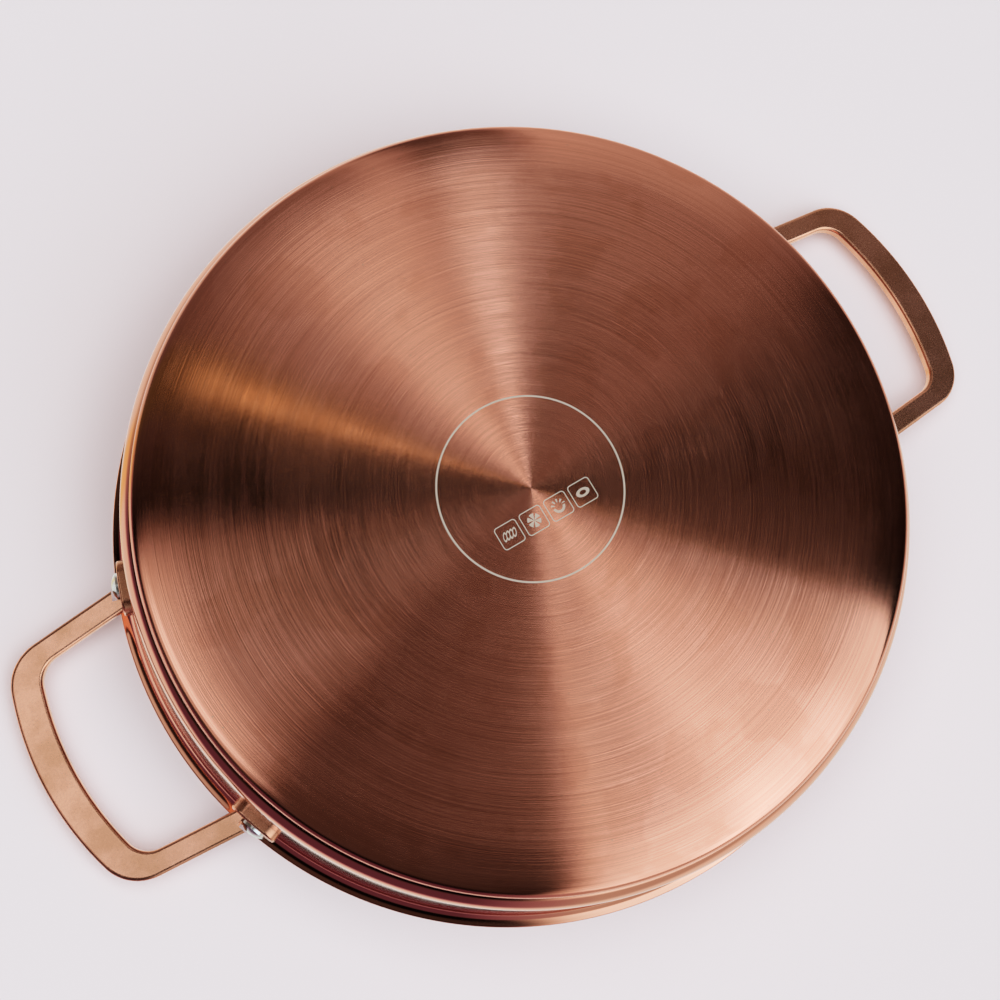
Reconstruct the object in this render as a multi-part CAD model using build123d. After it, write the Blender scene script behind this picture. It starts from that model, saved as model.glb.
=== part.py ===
from build123d import *
import os
from math import asin, cos, degrees, radians, sin, tan

# A low round pan with a capsule base, a flared pouring rim and a cast loop handle riveted on each
# side. Millimetres. The origin is the centre of the base's underside, +Z points up out of the
# mouth and +X points through the middle of the right-hand handle.

# ---- overall sizes ----
body_radius = 135.0          # outside of the wall, where it leaves the bottom corner
pan_height = 58.0            # underside of the base to the top of the rim

# ---- drawn steel body ----
sheet_thickness = 1.2
corner_radius = 8.0          # outside radius between the bottom and the wall
wall_draft = 1.0             # degrees that the wall leans outwards
lip_bend_radius = 5.3        # outside face of the flared rim
lip_angle = 75.0             # degrees from upright at the end of the rim

# ---- capsule base: aluminium disc held in a pressed steel cap ----
cap_thickness = 0.8
core_thickness = 4.2
cap_inset = 3.5              # cap's outside radius is this much less than the body's
cap_edge_radius = 2.5        # outside radius of the cap's bottom edge
skirt_lap = 1.2              # height of the cap's skirt above the top of the core, at most

# ---- cast loop handles ----
handle_reach = 48.5          # from the wall to the outside of the bar
bar_bow_radius = 110.0       # the bar bows outwards
bar_width = 11.3
leg_span = 93.0              # across the outside of the two legs at the wall
leg_width = 8.1
leg_lean = 4.6               # degrees that each leg leans towards the other
outer_corner_radius = 16.0
inner_corner_radius = 9.0
handle_thickness = 4.6
handle_edge_radius = 1.2
handle_rise = 6.5            # degrees that the loop rises outwards
handle_drop = 13.6           # top of the rim down to the underside of the loop, at the wall

# ---- ears at the ends of each loop ----
ear_length = 18.4            # along the wall
ear_height = 14.0
ear_thickness = 2.8
ear_corner_radius = 4.5
ear_edge_radius = 0.8
ear_shift = 0.9              # ear's middle is this far from the rivet, towards the leg
ear_sink = 0.8               # ear's middle is this far below the middle of the leg

# ---- rivets, one through each ear ----
rivet_shank_radius = 2.5     # the shank is upset until it fills its hole
rivet_head_radius = 4.7
rivet_head_height = 2.6
rivet_head_edge = 1.0        # straight side of the outside head, below its dome
rivet_foot_radius = 5.0
rivet_foot_height = 1.2      # flat head inside the pan
rivet_foot_edge_radius = 0.5
rivet_outset = 0.2           # rivet's axis is this far outside the leg's outer face
head_clearance = 0.4         # between the outside head and the leg cut away round it

# ---- worked out from the sizes above ----
floor_height = cap_thickness + core_thickness
cap_radius = body_radius - cap_inset
loop_height = pan_height - handle_drop
ear_centre_height = loop_height + handle_thickness / 2 - ear_sink
ear_face_radius = body_radius + ear_centre_height * tan(radians(wall_draft)) + ear_thickness
rivet_angle = degrees(asin((leg_span / 2 + rivet_outset) / ear_face_radius))
ear_angle = rivet_angle - degrees(ear_shift / ear_face_radius)
rivet_seat_radius = ear_face_radius * cos(rivet_head_radius / ear_face_radius)
inside_reach = body_radius / 4          # how far tools for cutting start inside the wall

handle_turns = {"right": 0, "left": 180}
ear_sides = {"back": 1, "front": -1}


def section_point(radius, height):
    """A point in the half section that is turned about the pan's axis."""
    return Vector(radius, 0, height)


def facing_out(lean):
    """Unit vector out of the sheet's outer face, where the sheet leans outwards by `lean` degrees."""
    return Vector(cos(radians(lean)), 0, -sin(radians(lean)))


def sheet_points(depth):
    """Points along the body's section, `depth` below its outer face, from the axis to the rim."""
    corner_centre = section_point(body_radius - corner_radius, floor_height + corner_radius)
    lip_reach = lip_bend_radius + sheet_thickness
    lip_centre_height = pan_height - lip_reach * sin(radians(lip_angle))
    wall_top = lip_centre_height + lip_bend_radius * sin(radians(wall_draft))
    wall_foot = corner_centre + facing_out(wall_draft) * corner_radius
    lean_out = (wall_top - wall_foot.Z) * tan(radians(wall_draft))
    wall_end = section_point(wall_foot.X + lean_out, wall_top)
    lip_centre = wall_end + facing_out(wall_draft) * lip_bend_radius

    in_corner = corner_radius - depth
    in_lip = lip_bend_radius + depth
    corner_middle = (90 + wall_draft) / 2
    lip_middle = (wall_draft + lip_angle) / 2
    return {
        "axis": section_point(0, floor_height + depth),
        "corner_start": corner_centre + facing_out(90) * in_corner,
        "corner_middle": corner_centre + facing_out(corner_middle) * in_corner,
        "corner_end": corner_centre + facing_out(wall_draft) * in_corner,
        "lip_start": lip_centre - facing_out(wall_draft) * in_lip,
        "lip_middle": lip_centre - facing_out(lip_middle) * in_lip,
        "lip_end": lip_centre - facing_out(lip_angle) * in_lip,
    }


def sheet_line(points):
    """The body's section line through its points."""
    return [
        Line(points["axis"], points["corner_start"]),
        ThreePointArc(points["corner_start"], points["corner_middle"], points["corner_end"]),
        Line(points["corner_end"], points["lip_start"]),
        ThreePointArc(points["lip_start"], points["lip_middle"], points["lip_end"]),
    ]


def turned(lines):
    """The solid made by turning a closed section about the pan's axis."""
    return revolve(make_face(Curve() + lines), Axis.Z)


def body_sheet():
    """The drawn body, before it is drilled: bottom, corner, wall and flared rim with a round edge."""
    outer = sheet_points(0)
    inner = sheet_points(sheet_thickness)
    edge_middle = (outer["lip_end"] + inner["lip_end"]) / 2
    along_lip = (inner["lip_end"] - outer["lip_end"]).rotate(Axis.Y, 90).normalized()
    edge_top = edge_middle + along_lip * (sheet_thickness / 2)
    lines = sheet_line(outer) + sheet_line(inner)
    lines.append(ThreePointArc(outer["lip_end"], edge_top, inner["lip_end"]))
    lines.append(Line(outer["axis"], inner["axis"]))
    return turned(lines)


def body_filled():
    """The body with its inside filled up, used to fit other pieces to its outer face."""
    outer = sheet_points(0)
    top = outer["lip_end"].Z
    lines = sheet_line(outer)
    lines.append(Line(outer["lip_end"], section_point(0, top)))
    lines.append(Line(section_point(0, top), outer["axis"]))
    return turned(lines)


def cap_blank(inset):
    """The base filled up to the top of its skirt, `inset` inside the cap's outer face."""
    radius = cap_radius - inset
    height = floor_height + skirt_lap - inset
    blank = Pos(0, 0, inset) * Cylinder(radius, height, align=(Align.CENTER, Align.CENTER, Align.MIN))
    return fillet(blank.edges().sort_by(Axis.Z)[0], cap_edge_radius - inset)


def base_pieces(filled):
    """The steel cap and the aluminium disc that fills it, both fitted under the body."""
    inside = cap_blank(cap_thickness)
    cap = cap_blank(0) - inside - filled
    core = inside - filled
    return cap, core


def loop_outline(inset_side, inset_bar, corner):
    """Plan of the loop inside one edge: two leaning legs closed by a bowed bar."""
    start = body_radius - inside_reach
    bar = body_radius + handle_reach - inset_bar
    half = leg_span / 2 - inset_side
    lean = tan(radians(leg_lean))
    wide = half + inside_reach * lean
    narrow = half - handle_reach * lean
    reach = body_radius + handle_reach
    blank = make_face(Polyline((start, wide), (reach, narrow), (reach, -narrow), (start, -wide), close=True))
    bow = Pos(bar - bar_bow_radius, 0) * Circle(bar_bow_radius)
    shape = blank & bow
    corners = shape.vertices().sort_by(Axis.X)[2:]
    return fillet(corners, corner)


def loop():
    """The bar and its two legs, with rounded edges, rising away from the wall."""
    outer = loop_outline(0, 0, outer_corner_radius)
    inner = loop_outline(leg_width, bar_width, inner_corner_radius)
    flat = extrude(outer - inner, handle_thickness)
    faces = flat.faces().sort_by(Axis.Z)
    rounded = fillet(faces[0].edges() + faces[-1].edges(), handle_edge_radius)
    at_wall = Pos(body_radius, 0, loop_height)
    return at_wall * Rot(0, -handle_rise, 0) * Pos(-body_radius, 0, 0) * rounded


def radial_place(angle, radius, height):
    """A place on the wall whose local Z axis points straight out of the pan."""
    return Rot(0, 0, angle) * Pos(radius, 0, height) * Rot(0, 90, 0)


def ear(side):
    """The plate at the end of one leg, curved to the wall."""
    start = body_radius - inside_reach
    outline = RectangleRounded(ear_height, ear_length, ear_corner_radius)
    block = radial_place(side * ear_angle, start, ear_centre_height) * extrude(outline, 2 * inside_reach)
    plate = block & Pos(0, 0, ear_centre_height) * Cylinder(ear_face_radius, 2 * ear_height)
    outer_face = plate.faces().sort_by(SortBy.DISTANCE)[-1]
    return fillet(outer_face.edges(), ear_edge_radius)


def rivet_tool(side, radius, start, end):
    """A cylinder on one rivet's axis between two distances from the pan's axis."""
    length = end - start
    place = radial_place(side * rivet_angle, start, ear_centre_height)
    return place * Cylinder(radius, length, align=(Align.CENTER, Align.CENTER, Align.MIN))


def rivet_hole(side):
    """The hole for one rivet, through the ear and the wall."""
    return rivet_tool(side, rivet_shank_radius, body_radius - inside_reach, ear_face_radius)


def handle(filled):
    """One cast handle: loop and two ears, seated on the wall and cut away round the rivet heads."""
    solid = loop()
    for side in ear_sides.values():
        solid += ear(side)
    solid -= filled
    head_top = rivet_seat_radius + rivet_head_height + head_clearance
    for side in ear_sides.values():
        relief_radius = rivet_head_radius + head_clearance
        solid -= rivet_tool(side, relief_radius, rivet_seat_radius, head_top)
        solid -= rivet_hole(side)
    return solid


def rivet_foot(side, start):
    """The flat inside head, reaching into the wall so that it can be fitted to it."""
    length = ear_face_radius - ear_thickness - start
    blank = Cylinder(rivet_foot_radius, length, align=(Align.CENTER, Align.CENTER, Align.MIN))
    blank = fillet(blank.edges().sort_by(Axis.Z)[0], rivet_foot_edge_radius)
    return radial_place(side * rivet_angle, start, ear_centre_height) * blank


def rivet(side, drilled):
    """One rivet: domed head on the ear, shank through ear and wall, flat head inside the pan."""
    foot_start = drilled_wall_radius() - rivet_foot_height
    shank = rivet_tool(side, rivet_shank_radius, foot_start + rivet_foot_height / 2, rivet_seat_radius)
    inside_of_wall = Cylinder(drilled_wall_radius() + sheet_thickness / 2, 2 * pan_height)
    foot = (rivet_foot(side, foot_start) & inside_of_wall) - drilled
    return foot + shank + rivet_head(side)


def drilled_wall_radius():
    """Inside radius of the wall at the height of the rivets."""
    height = ear_centre_height - floor_height - corner_radius
    return body_radius + height * tan(radians(wall_draft)) - sheet_thickness


def rivet_head(side):
    """The domed outside head: a straight edge and a spherical cap."""
    dome = rivet_head_height - rivet_head_edge
    section = Curve() + [
        Line((0, 0, 0), (rivet_head_radius, 0, 0)),
        Line((rivet_head_radius, 0, 0), (rivet_head_radius, 0, rivet_head_edge)),
        Line((0, 0, rivet_head_height), (0, 0, 0)),
    ]
    dome_radius = (rivet_head_radius ** 2 + dome ** 2) / (2 * dome)
    half = rivet_head_radius / 2
    half_rise = (dome_radius ** 2 - half ** 2) ** 0.5 - dome_radius
    section += ThreePointArc(
        (rivet_head_radius, 0, rivet_head_edge),
        (half, 0, rivet_head_height + half_rise),
        (0, 0, rivet_head_height),
    )
    head = revolve(make_face(section), Axis.Z)
    return radial_place(side * rivet_angle, rivet_seat_radius, ear_centre_height) * head


def build():
    """Every piece of the pan by name."""
    filled = body_filled()
    body = body_sheet()
    for turn in handle_turns.values():
        for side in ear_sides.values():
            body -= Rot(0, 0, turn) * rivet_hole(side)
    cap, core = base_pieces(filled)
    pieces = {"pan_body": body, "base_core": core, "base_cap": cap}
    one_handle = handle(filled)
    rivets = {name: rivet(side, body) for name, side in ear_sides.items()}
    for handle_name, turn in handle_turns.items():
        pieces["handle_" + handle_name] = Rot(0, 0, turn) * one_handle
        for ear_name, one_rivet in rivets.items():
            pieces["rivet_" + handle_name + "_" + ear_name] = Rot(0, 0, turn) * one_rivet
    return pieces


os.makedirs("parts", exist_ok=True)
for piece_name, piece in build().items():
    solid = piece.solids()[0]
    solid.label = piece_name
    export_step(solid, "parts/" + piece_name + ".step")
    box = solid.bounding_box()
    print(piece_name, len(piece.solids()), round(solid.volume, 1), box.min, box.max)
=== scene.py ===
import bpy
import bmesh
from math import cos, pi, radians, sin, tan
from mathutils import Euler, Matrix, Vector


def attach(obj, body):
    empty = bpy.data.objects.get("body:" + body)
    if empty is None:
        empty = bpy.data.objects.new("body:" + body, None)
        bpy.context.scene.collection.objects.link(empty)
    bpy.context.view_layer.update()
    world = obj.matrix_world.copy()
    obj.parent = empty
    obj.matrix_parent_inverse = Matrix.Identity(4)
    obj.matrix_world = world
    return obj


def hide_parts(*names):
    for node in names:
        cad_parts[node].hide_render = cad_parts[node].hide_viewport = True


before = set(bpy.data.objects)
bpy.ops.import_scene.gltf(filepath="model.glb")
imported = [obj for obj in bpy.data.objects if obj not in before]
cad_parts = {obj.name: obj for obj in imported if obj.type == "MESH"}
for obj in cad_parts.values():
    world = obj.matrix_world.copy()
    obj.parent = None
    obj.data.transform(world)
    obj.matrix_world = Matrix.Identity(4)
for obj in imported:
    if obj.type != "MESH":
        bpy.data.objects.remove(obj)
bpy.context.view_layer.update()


# Pan body: one sheet of stainless steel, drawn to a straight wall and flared at the rim. The
# outside is polished and has a copper-coloured coating; the inside is left as brushed steel.
# The rim is ground round, and the rivets pass through the wall just below the flare.
body_radius = 0.135
sheet = 0.0012
wall_lean = radians(1)
wall_length = 0.039
bottom_height = 0.005
corner_radius = 0.008
corner_steps = 14
flare_bend = 0.0053
flare_angle = radians(75)
flare_steps = 12
rim_height = 0.058
rim_steps = 8


def body_line(depth):
    """Section of the sheet, depth below its outer face, from the axis to the end of the flare."""
    corner_x = body_radius - corner_radius
    corner_z = bottom_height + corner_radius
    points = [(0.0, bottom_height + depth), (0.064, bottom_height + depth)]
    for i in range(corner_steps + 1):
        a = pi / 2 - (pi / 2 - wall_lean) * i / corner_steps
        bend = corner_radius - depth
        points.append((corner_x + bend * cos(a), corner_z - bend * sin(a)))
    points.append((0.1353 - depth, 0.031))
    flare_x = body_radius + wall_length * tan(wall_lean) + flare_bend
    flare_z = rim_height - (flare_bend + sheet) * sin(flare_angle)
    for i in range(flare_steps + 1):
        a = wall_lean + (flare_angle - wall_lean) * i / flare_steps
        bend = flare_bend + depth
        points.append((flare_x - bend * cos(a), flare_z + bend * sin(a)))
    return points


def spin_piece(name, section):
    """A smooth piece spun about the pan's axis from its section, which starts and ends on the axis."""
    bm = bmesh.new()
    line = [bm.verts.new((x, 0, z)) for x, z in section]
    edges = [bm.edges.new(pair) for pair in zip(line, line[1:])]
    bmesh.ops.spin(
        bm, geom=line + edges, cent=(0, 0, 0), axis=(0, 0, 1), angle=2 * pi, steps=240, use_merge=True
    )
    bmesh.ops.remove_doubles(bm, verts=bm.verts, dist=1e-6)
    bmesh.ops.recalc_face_normals(bm, faces=bm.faces)
    for face in bm.faces:
        face.smooth = True
    mesh = bpy.data.meshes.new(name)
    bm.to_mesh(mesh)
    bm.free()
    piece = bpy.data.objects.new(name, mesh)
    bpy.context.collection.objects.link(piece)
    return piece


outside = body_line(0.0)
inside = body_line(sheet)
edge_middle = (Vector(outside[-1]) + Vector(inside[-1])) / 2
across = Vector(inside[-1]) - edge_middle
along = Vector((across.y, -across.x))
rim = []
for i in range(1, rim_steps):
    a = pi * i / rim_steps
    rim.append(tuple(edge_middle - across * cos(a) + along * sin(a)))
body = spin_piece("pan_body_sheet", outside + rim + inside[::-1])
for face in body.data.polygons:
    inward = face.normal.x * face.center.x + face.normal.y * face.center.y < 0
    pan_floor = face.normal.z > 0.2 and face.center.xy.length < body_radius + 0.0002
    face.material_index = 1 if inward or pan_floor else 0


def add(kind, **settings):
    """A new node of the material or world being made."""
    node = nt.nodes.new("ShaderNode" + kind)
    for setting, value in settings.items():
        setattr(node, setting, value)
    return node


def feed(socket, value):
    """Sets a socket to a number or a colour, or links another node's output to it."""
    if isinstance(value, bpy.types.NodeSocket):
        nt.links.new(value, socket)
    elif isinstance(value, tuple):
        socket.default_value = (*value, 1)
    else:
        socket.default_value = value


def calc(operation, *values):
    """One step of arithmetic on numbers or other nodes' outputs."""
    node = add("Math", operation=operation)
    for socket, value in zip(node.inputs, values):
        feed(socket, value)
    return node.outputs[0]


def length(x, y):
    """Distance of a place from a middle, by its two parts."""
    return calc("SQRT", calc("ADD", calc("MULTIPLY", x, x), calc("MULTIPLY", y, y)))


def spread(value, low, high, to_low, to_high):
    """A value moved from one range to another, and kept inside it."""
    node = add("MapRange")
    node.inputs["From Min"].default_value = low
    node.inputs["From Max"].default_value = high
    node.inputs["To Min"].default_value = to_low
    node.inputs["To Max"].default_value = to_high
    feed(node.inputs["Value"], value)
    return node.outputs["Result"]


def point(x, y, z):
    """A point made from three values."""
    node = add("CombineXYZ")
    for socket, value in zip(node.inputs, (x, y, z)):
        feed(socket, value)
    return node.outputs[0]


def noise(at, scale, detail, rough=0.5):
    """Noise read at a point."""
    node = add("TexNoise")
    node.inputs["Scale"].default_value = scale
    node.inputs["Detail"].default_value = detail
    node.inputs["Roughness"].default_value = rough
    feed(node.inputs["Vector"], at)
    return node.outputs["Fac"]


def blend(amount, colour, other):
    """One colour blended into another by an amount."""
    node = add("Mix", data_type="RGBA")
    feed(node.inputs["Factor"], amount)
    feed(node.inputs["A"], colour)
    feed(node.inputs["B"], other)
    return node.outputs["Result"]


def bump(height, strength, distance):
    """A surface normal roughened by a height."""
    node = add("Bump")
    node.inputs["Strength"].default_value = strength
    node.inputs["Distance"].default_value = distance
    feed(node.inputs["Height"], height)
    return node.outputs["Normal"]


def brush_round_axis(bsdf, amount):
    """Streaks the gloss as brushing that runs round the pan's axis does."""
    bsdf.inputs["Anisotropic"].default_value = amount
    bsdf.inputs["Anisotropic Rotation"].default_value = 0.25
    tangent = add("Tangent", direction_type="RADIAL", axis="Z")
    feed(bsdf.inputs["Tangent"], tangent.outputs[0])


def metal(name):
    """A new metal material, its node tree and its shader."""
    material = bpy.data.materials.new(name)
    material.use_nodes = True
    bsdf = material.node_tree.nodes["Principled BSDF"]
    bsdf.inputs["Metallic"].default_value = 1.0
    return material, material.node_tree, bsdf


grain_per_metre = 900
for name, colour, roughness, brushing in (
    ("coated_polished_steel", (0.86, 0.38, 0.26), 0.09, 0.02),
    ("brushed_steel_lining", (0.75, 0.68, 0.66), 0.27, 0.08),
):
    material, nt, bsdf = metal(name)
    here = add("TexCoord").outputs["Object"]
    xyz = add("SeparateXYZ")
    feed(xyz.inputs[0], here)
    x, y, z = xyz.outputs
    # brushing runs round the pan, so it changes with distance from the axis and with height
    grain_at = point(
        calc("MULTIPLY", length(x, y), grain_per_metre),
        calc("MULTIPLY", z, grain_per_metre),
        calc("MULTIPLY", x, 30),
    )
    grain = noise(grain_at, 1.0, 3.0)
    if name == "brushed_steel_lining":
        wear = grain
        brush_round_axis(bsdf, 0.9)
    else:
        wear = noise(here, 34.0, 5.0)
    darker = tuple(0.9 * c for c in colour)
    feed(bsdf.inputs["Base Color"], blend(wear, darker, colour))
    feed(bsdf.inputs["Roughness"], spread(wear, 0.35, 0.75, roughness, roughness + 0.05))
    feed(bsdf.inputs["Normal"], bump(grain, brushing, 0.00002))
    body.data.materials.append(material)
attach(body, "root")
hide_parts("pan_body")


# Base cap: a thin sheet-steel disc with a rounded edge and a short skirt, pressed over the
# aluminium core and bonded to the body. Its face is spun, so the scratches are circles about the
# middle, and a ring and four hob marks are etched into it.
cap_radius = 0.1315
cap_sheet = 0.0008
cap_edge_radius = 0.0029
cap_edge_z = 0.0035
skirt_top = 0.0062
flat_radius = 0.112           # the face rises a little from here to its edge
rise_width = 0.017
rise = 0.0006
core_edge_radius = 0.0017
core_edge_z = 0.0025

section = [(0.0, 0.0), (0.043, 0.0), (0.086, 0.0), (flat_radius, 0.0)]
for i in range(1, 9):
    section.append((flat_radius + rise_width * i / 8, rise * (i / 8) ** 2.2))
for i in range(1, 13):
    a = radians(9 + 81 * i / 12)
    section.append((cap_radius - cap_edge_radius * (1 - sin(a)), cap_edge_z - cap_edge_radius * cos(a)))
cap_inside = cap_radius - cap_sheet
section += [
    (cap_radius, skirt_top),
    (cap_radius - 0.0006, skirt_top),
    (cap_inside, skirt_top - 0.0004),
    (cap_inside, core_edge_z),
]
for i in range(1, 7):
    a = radians(90 - 90 * i / 6)
    section.append((cap_inside - core_edge_radius * (1 - sin(a)), core_edge_z - core_edge_radius * cos(a)))
section += [(0.086, cap_sheet), (0.0, cap_sheet)]
cap = spin_piece("base_cap_spun", section)

material, nt, bsdf = metal("spun_coated_steel")
here = add("TexCoord").outputs["Object"]


xyz = add("SeparateXYZ")
feed(xyz.inputs[0], here)
x_mm, y_mm, z_mm = [calc("MULTIPLY", socket, 1000) for socket in xyz.outputs]
r_mm = length(x_mm, y_mm)
around_x = calc("DIVIDE", x_mm, calc("ADD", r_mm, 2))
around_y = calc("DIVIDE", y_mm, calc("ADD", r_mm, 2))


def scratches(per_mm, around, detail):
    """Circular scratches: close together outwards, long round the middle."""
    turn_x = calc("MULTIPLY", around_x, around)
    turn_y = calc("MULTIPLY", around_y, around)
    return noise(point(calc("MULTIPLY", r_mm, per_mm), turn_x, turn_y), 1.0, detail)


def stains(per_mm, height, detail):
    """Marks with no direction, such as finger prints and specks."""
    at = point(calc("MULTIPLY", x_mm, per_mm), calc("MULTIPLY", y_mm, per_mm), height)
    return noise(at, 1.0, detail)


fine = scratches(2.8, 1.8, 2.0)
coarse = scratches(0.8, 0.9, 4.0)
bands = scratches(0.22, 0.6, 2.0)
smudge = stains(0.035, z_mm, 6.0)
prints = stains(0.045, calc("ADD", z_mm, 40), 3.0)
specks = stains(0.9, z_mm, 1.0)

ring_radius = 31.7
ring_half_width = 0.32
mark_pitch = 9.6
first_mark_x = 14.4
marks_y = -9.95
line_half_width = 0.17


def line_along(distance, half_width):
    """A line of an etched mark: more than 0 where a place is less than half its width from it."""
    return calc("SUBTRACT", half_width, calc("ABSOLUTE", distance))


def rounded_square(px, py):
    """The frame of a hob mark."""
    side, corner = 2.9, 1.1
    ax = calc("MAXIMUM", calc("SUBTRACT", calc("ABSOLUTE", px), side), 0)
    ay = calc("MAXIMUM", calc("SUBTRACT", calc("ABSOLUTE", py), side), 0)
    return line_along(calc("SUBTRACT", length(ax, ay), corner), line_half_width)


def coil(px, py):
    """Electric coil: four narrow slanted loops side by side."""
    loops = []
    for k in range(4):
        middle = calc("ADD", -1.8 + 1.2 * k, calc("MULTIPLY", py, 0.3))
        oval = length(calc("DIVIDE", calc("SUBTRACT", px, middle), 0.6), calc("DIVIDE", py, 1.3))
        loops.append(line_along(calc("MULTIPLY", calc("SUBTRACT", oval, 1), 0.7), line_half_width))
    return loops


def glowing_plate(px, py):
    """Glass hob: a plate with six rays."""
    rays = calc("ABSOLUTE", calc("SINE", calc("MULTIPLY", calc("ARCTAN2", py, px), 3.0)))
    out = length(px, py)
    return [calc("MINIMUM", calc("SUBTRACT", 2.4, out), calc("MULTIPLY", calc("SUBTRACT", rays, 0.42), out))]


def gas_flame(px, py):
    """Gas: a burner bowl with short flames over it."""
    out = length(px, py)
    bowl = calc("MINIMUM", line_along(calc("SUBTRACT", out, 1.8), 0.45), calc("SUBTRACT", -0.2, py))
    flames = calc("SUBTRACT", calc("SINE", calc("MULTIPLY", calc("ARCTAN2", py, px), 10.0)), 0.2)
    row = calc("MINIMUM", line_along(calc("SUBTRACT", out, 2.0), 0.6), flames)
    return [bowl, calc("MINIMUM", row, calc("SUBTRACT", py, 0.3))]


def magnet_ring(px, py):
    """Induction: a flattened ring."""
    return [line_along(calc("SUBTRACT", length(px, calc("DIVIDE", py, 0.6)), 1.85), 0.62)]


marks = [line_along(calc("SUBTRACT", r_mm, ring_radius), ring_half_width)]
for i, hob in enumerate((coil, glowing_plate, gas_flame, magnet_ring)):
    px = calc("SUBTRACT", first_mark_x - mark_pitch * i, x_mm)
    py = calc("SUBTRACT", y_mm, marks_y)
    marks += [rounded_square(px, py), *hob(px, py)]
etch = 0.0
for mark in marks:
    etch = calc("MAXIMUM", etch, spread(mark, -0.04, 0.04, 0.0, 1.0))
underside_only = calc("LESS_THAN", z_mm, 0.2)
etch = calc("MULTIPLY", etch, underside_only)

rubbed = calc("ADD", calc("MULTIPLY", coarse, 0.3), calc("MULTIPLY", smudge, 0.25))
streaks = spread(calc("ADD", calc("MULTIPLY", fine, 0.45), rubbed), 0.36, 0.62, 0.0, 1.0)
copper = blend(streaks, (0.75, 0.295, 0.20), (0.92, 0.38, 0.265))
copper = blend(spread(prints, 0.53, 0.59, 0.0, 0.35), copper, (0.70, 0.255, 0.16))
copper = blend(spread(specks, 0.74, 0.80, 0.0, 0.7), copper, (0.50, 0.28, 0.20))
feed(bsdf.inputs["Base Color"], copper)
worn = calc("ADD", spread(smudge, 0.35, 0.7, 0.105, 0.132), spread(bands, 0.35, 0.65, -0.008, 0.008))
worn = calc("ADD", worn, calc("MULTIPLY", calc("SUBTRACT", fine, 0.5), 0.03))
feed(bsdf.inputs["Roughness"], worn)
brush_round_axis(bsdf, 1.0)
scratched = bump(calc("ADD", fine, calc("MULTIPLY", coarse, 0.25)), 0.9, 0.00003)
feed(bsdf.inputs["Normal"], scratched)
etched = add("BsdfPrincipled")
etched.inputs["Base Color"].default_value = (0.52, 0.42, 0.34, 1)
etched.inputs["Metallic"].default_value = 0.3
etched.inputs["Roughness"].default_value = 0.6
face = add("MixShader")
feed(face.inputs[0], calc("MULTIPLY", etch, 0.9))
feed(face.inputs[1], bsdf.outputs[0])
feed(face.inputs[2], etched.outputs[0])
feed(nt.nodes["Material Output"].inputs["Surface"], face.outputs[0])
cap.data.materials.append(material)
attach(cap, "root")
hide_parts("base_cap")


# Base core: a rolled aluminium disc, sealed between the cap and the body. Nothing of it shows
# once the pan is put together, and the rolling leaves fine straight lines on it.
material, nt, bsdf = metal("rolled_aluminium")
here = add("TexCoord").outputs["Object"]
bsdf.inputs["Base Color"].default_value = (0.78, 0.78, 0.79, 1)
rolled = add("Mapping")
rolled.inputs["Scale"].default_value = (40, 1500, 40)
feed(rolled.inputs["Vector"], here)
grain = noise(rolled.outputs[0], 1.0, 3.0)
feed(bsdf.inputs["Roughness"], spread(grain, 0.0, 1.0, 0.3, 0.5))
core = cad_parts["base_core"]
core.data.materials.clear()
core.data.materials.append(material)


# Handles: each is one stainless casting, a flat bar with rounded edges bent into a loop and
# ending in two ears curved to the wall. They are satin finished and coated the same copper
# colour and mottled by heat and handling. Their rounded edges are painted dark brown, a painted
# shade that stands in for the dark reflection seen along them.
def tones(value, stops):
    """Colours set out along a value between 0 and 1, lowest stop first."""
    node = add("ValToRGB")
    elements = node.color_ramp.elements
    elements.remove(elements[-1])
    (place, colour), *others = stops
    elements[0].position = place
    elements[0].color = (*colour, 1)
    for place, colour in others:
        elements.new(place).color = (*colour, 1)
    feed(node.inputs["Fac"], value)
    return node.outputs["Color"]


material, nt, bsdf = metal("satin_coated_casting")
here = add("TexCoord").outputs["Object"]
mottle = noise(here, 62.0, 6.0, 0.6)
tan_face = tones(mottle, ((0.38, (0.72, 0.315, 0.185)), (0.60, (0.93, 0.42, 0.275))))
# painted shade: the rounded edges, found by pointiness, are darkened to brown in place of their dark
# reflection
edges = spread(add("NewGeometry").outputs["Pointiness"], 0.52, 0.62, 0.0, 1.0)
feed(bsdf.inputs["Base Color"], blend(edges, tan_face, (0.36, 0.145, 0.08)))
satin = noise(here, 1500.0, 4.0)
feed(bsdf.inputs["Roughness"], spread(satin, 0.0, 1.0, 0.23, 0.30))
feed(bsdf.inputs["Normal"], bump(satin, 0.15, 0.00001))
for name in ("handle_right", "handle_left"):
    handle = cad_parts[name]
    handle.data.materials.clear()
    handle.data.materials.append(material)


# Rivets: plain stainless steel, with a low domed head on each ear and a flat head inside the
# wall. They are not coated, so they stay silver, and the forming tool leaves a dimpled surface.
material, nt, bsdf = metal("plain_rivet_steel")
here = add("TexCoord").outputs["Object"]
spots = noise(here, 700.0, 5.0)
silver = tones(spots, ((0.3, (0.60, 0.58, 0.56)), (0.7, (0.80, 0.79, 0.78))))
feed(bsdf.inputs["Base Color"], silver)
feed(bsdf.inputs["Roughness"], spread(spots, 0.0, 1.0, 0.16, 0.34))
feed(bsdf.inputs["Normal"], bump(spots, 0.2, 0.00003))
for side in ("right", "left"):
    for end in ("back", "front"):
        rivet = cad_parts["rivet_" + side + "_" + end]
        rivet.data.materials.clear()
        rivet.data.materials.append(material)


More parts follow.
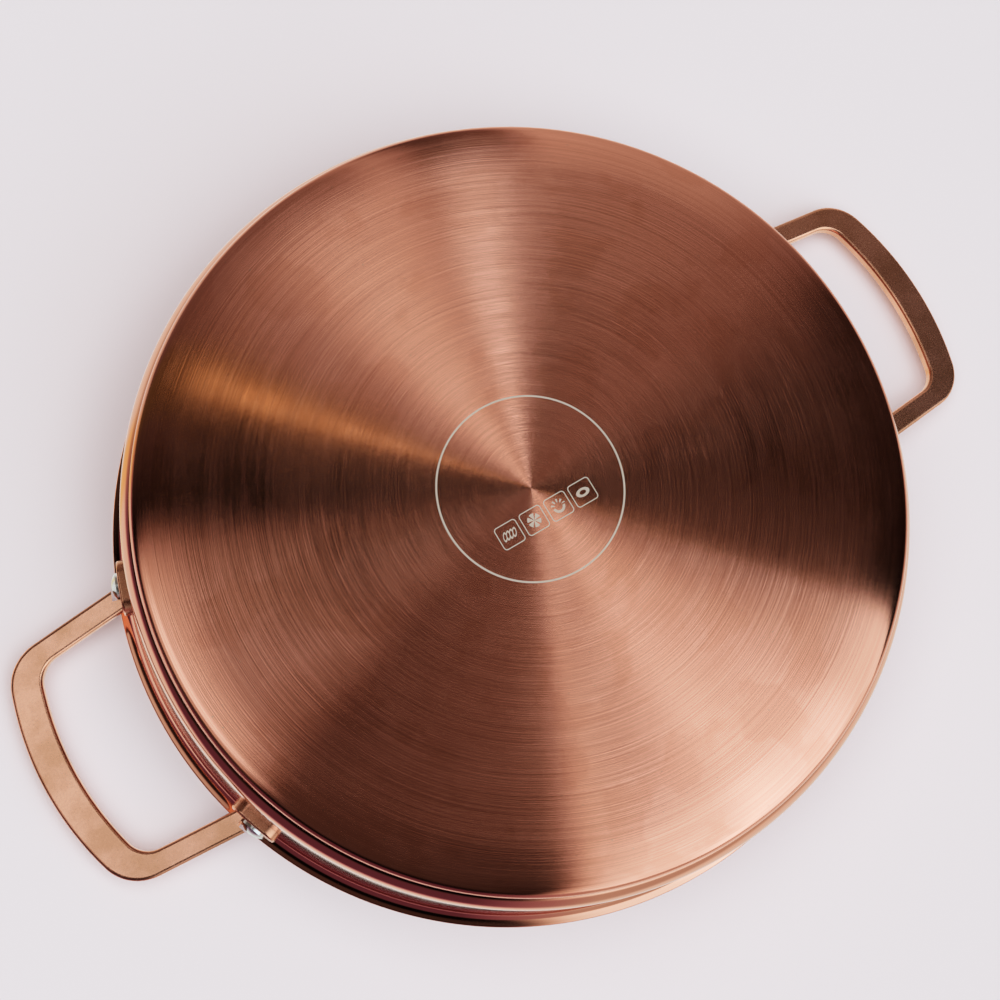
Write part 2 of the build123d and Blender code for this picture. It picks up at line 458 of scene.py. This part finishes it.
# Tables: the pan lies upside down on a pale table, so one pale sheet lies against its rim and
# shows only from the base side. Another lies under its base and shows only from above.
table_radius = 3.0
for name, level, shows_below, hole, pale in (
    ("table_at_rim", 0.0584, True, 0.1385, (0.83, 0.745, 0.78)),
    ("table_at_base", -0.0003, False, 0.128, (0.70, 0.60, 0.625)),
):
    bm = bmesh.new()
    for radius in (hole, table_radius):
        bmesh.ops.create_circle(bm, radius=radius, segments=96)
    bmesh.ops.bridge_loops(bm, edges=bm.edges)
    bmesh.ops.translate(bm, verts=bm.verts, vec=(0, 0, level))
    for face in bm.faces:
        face.normal_update()
        if (face.normal.z < 0) != shows_below:
            face.normal_flip()
    mesh = bpy.data.meshes.new(name)
    bm.to_mesh(mesh)
    bm.free()
    table = bpy.data.objects.new(name, mesh)
    bpy.context.collection.objects.link(table)
    material = bpy.data.materials.new(name)
    material.use_nodes = True
    nt = material.node_tree
    bsdf = nt.nodes["Principled BSDF"]
    bsdf.inputs["Roughness"].default_value = 0.9
    bsdf.inputs["Specular IOR Level"].default_value = 0.0
    here = add("TexCoord").outputs["Object"]
    greyer = tuple(0.965 * c for c in pale)
    cloud = noise(here, 3.0, 2.0)
    feed(bsdf.inputs["Base Color"], tones(cloud, ((0.3, greyer), (0.7, pale))))
    away = add("VectorMath", operation="LENGTH")
    feed(away.inputs[0], here)
    fade = spread(away.outputs["Value"], 0.6, 2.6, 0.0, 1.0)
    wrong_side = add("NewGeometry").outputs["Backfacing"]
    seen = add("MixShader")
    feed(seen.inputs[0], calc("MAXIMUM", wrong_side, fade))
    feed(seen.inputs[1], bsdf.outputs[0])
    feed(seen.inputs[2], add("BsdfTransparent").outputs[0])
    feed(nt.nodes["Material Output"].inputs["Surface"], seen.outputs[0])
    mesh.materials.append(material)
    table.visible_diffuse = False
    table.visible_glossy = False
    table.visible_transmission = False
    table.visible_shadow = False


# Room: pale overhead. Below the base it has soft windows and dark walls, set out as sectors
# round the direction that the base reflects towards the camera, which the spun scratches fan out.
# A dark plum-coloured bank stands along the horizon on the right-hand handle's front side.
world = bpy.data.worlds.new("room")
bpy.context.scene.world = world
world.use_nodes = True
nt = world.node_tree
for node in list(nt.nodes):
    nt.nodes.remove(node)
reflected_x = -0.238
reflected_y = 0.119
brightest = 3
xyz = add("SeparateXYZ")
feed(xyz.inputs[0], add("TexCoord").outputs["Generated"])
toward_x, toward_y, toward_z = xyz.outputs
down = calc("MAXIMUM", calc("MULTIPLY", toward_z, -1), 0.02)
u = calc("SUBTRACT", calc("DIVIDE", toward_x, down), reflected_x)
v = calc("SUBTRACT", calc("DIVIDE", toward_y, down), reflected_y)
sector = calc("FRACT", calc("DIVIDE", calc("ADD", calc("ARCTAN2", v, u), 2 * pi), 2 * pi))
tilt = length(u, v)


def sectors(levels):
    """Brightness by direction round what the base reflects: pairs of degrees and level."""
    stops = [(degrees / 360, (level / brightest,) * 3) for degrees, level in levels]
    return calc("MULTIPLY", tones(sector, stops), brightest)


# what the outer part of the base reflects: wall, far windows, dark corners
outer = sectors((
    (0.5, 0.9), (15, 0.95), (20, 0.75), (24, 0.1), (27, 0.0), (64, 0.2), (92, 0.3), (98, 0.6),
    (106, 0.1), (119, 0.2), (125, 0.8), (150, 0.65), (157, 0.5), (163, 0.35), (170, 0.2),
    (175, 0.04), (226.5, 0.0), (228, 2.2), (240, 2.2), (246, 2.9), (257, 3.0), (264, 3.6),
    (271, 2.6), (284, 2.4), (290, 1.8), (295, 0.5), (297, 0.04), (342, 0.1), (347, 0.75), (354, 0.85),
))
# what the middle of the base reflects: narrow bright windows
inner = sectors((
    (45.5, 0.0), (47, 2.3), (49.5, 1.7), (51, 0.05), (60, 0.45), (66, 0.4), (72, 0.95), (80, 1.5),
    (90, 1.3), (98, 0.7), (104, 0.9), (107.5, 2.6), (114, 2.6), (118, 0.7), (121, 0.1), (160, 0.2),
    (168, 0.35), (178, 0.15), (190, 0.0), (232, 0.1), (244, 0.8), (262, 1.4), (270, 1.4), (278, 0.6),
    (288, 0.6), (293, 1.4), (297, 0.2), (340, 0.1),
))


def swap(amount, value, other):
    """One brightness giving way to another as an amount goes from 0 to 1."""
    return calc("ADD", calc("MULTIPLY", value, calc("SUBTRACT", 1, amount)), calc("MULTIPLY", other, amount))


level = swap(spread(tilt, 0.17, 0.23, 0.0, 1.0), inner, outer)
# a lamp where the right-hand handle's flat face looks
handle_lamp = spread(length(calc("SUBTRACT", u, 0.50), v), 0.10, 0.18, 1.5, 0.0)
level = calc("ADD", level, handle_lamp)
azimuth = calc("ARCTAN2", toward_y, toward_x)
near_side = spread(calc("COSINE", calc("ADD", azimuth, radians(12))), 0.40, 0.70, 0.0, 1.0)
low_wall = calc("MULTIPLY", near_side, spread(down, 0.55, 0.70, 0.97, 0.0))
level = calc("MULTIPLY", level, calc("SUBTRACT", 1, low_wall))
horizon = spread(down, 0.12, 0.25, 1.0, 0.0)
level = swap(horizon, level, spread(near_side, 0.0, 1.0, 0.75, 0.15))
bank = spread(calc("COSINE", calc("ADD", azimuth, radians(46))), 0.50, 0.85, 0.0, 0.5)
sky = spread(calc("SUBTRACT", toward_z, bank), 0.0, 0.25, 0.0, 1.0)
level = swap(sky, level, 1.4)

tint = tones(
    calc("DIVIDE", level, brightest),
    (
        (0.0, (1.0, 0.70, 0.62)),
        (0.33, (1.0, 0.98, 0.88)),
        (0.66, (0.8, 0.96, 1.0)),
        (1.0, (0.8, 0.98, 1.10)),
    ),
)
gold_window = spread(calc("ABSOLUTE", calc("SUBTRACT", sector, 48 / 360)), 0.010, 0.022, 1.0, 0.0)
gold_window = calc("MULTIPLY", gold_window, spread(tilt, 0.04, 0.10, 0.2, 1.0))
tint = blend(gold_window, tint, (1.0, 0.80, 0.40))
plum_bank = calc("MULTIPLY", near_side, calc("MULTIPLY", horizon, calc("SUBTRACT", 1, sky)))
tint = blend(plum_bank, tint, (1.0, 0.42, 0.72))
light = add("Background")
feed(light.inputs["Strength"], level)
feed(light.inputs["Color"], tint)
plain = add("Background")
plain.inputs["Color"].default_value = (1.30, 1.165, 1.22, 1)
shown = add("MixShader")
feed(shown.inputs[0], add("LightPath").outputs["Is Camera Ray"])
feed(shown.inputs[1], light.outputs[0])
feed(shown.inputs[2], plain.outputs[0])
feed(add("OutputWorld").inputs["Surface"], shown.outputs[0])

# Soft boxes: one on the base side, over the table that the pan lies on, and one over its mouth.
for name, place, size, power in (
    ("soft_box_base_side", (0.25, -0.2, -2.4), 3.0, 95),
    ("soft_box_mouth_side", (-0.8, -1.0, 2.2), 1.8, 50),
):
    data = bpy.data.lights.new(name, "AREA")
    data.size = size
    data.energy = power
    lamp = bpy.data.objects.new(name, data)
    lamp.location = place
    lamp.rotation_euler = (-Vector(place)).to_track_quat("-Z", "Y").to_euler()
    lamp.visible_glossy = False
    bpy.context.collection.objects.link(lamp)

# Camera: on the base side, beyond the edge on the right-hand handle's front side, a little off square.
camera_data = bpy.data.cameras.new("camera")
camera_data.lens = 69.15
camera_data.shift_x = -0.05
camera_data.shift_y = -0.167
camera = bpy.data.objects.new("camera", camera_data)
camera.location = (0.1477, -0.0741, -0.6210)
camera.rotation_euler = Euler((radians(-162.75), radians(8.53), radians(-148.31)), "XYZ")
bpy.context.collection.objects.link(camera)
bpy.context.scene.camera = camera

# Film response: deep shadows and softly rolled-off whites, close to 1 - exp(-1.1 x^1.15).
film = bpy.context.scene.view_settings
film.view_transform = "Standard"
film.use_curve_mapping = True
film.curve_mapping.white_level = (2, 2, 2)
response = film.curve_mapping.curves[3].points
for level_in, level_out in (
    (0.025, 0.0345), (0.05, 0.075), (0.1, 0.159), (0.2, 0.319), (0.4, 0.573), (0.6, 0.742), (0.8, 0.85),
):
    response.new(level_in, level_out)
response[-1].location = (1.0, 0.92)
film.curve_mapping.update()
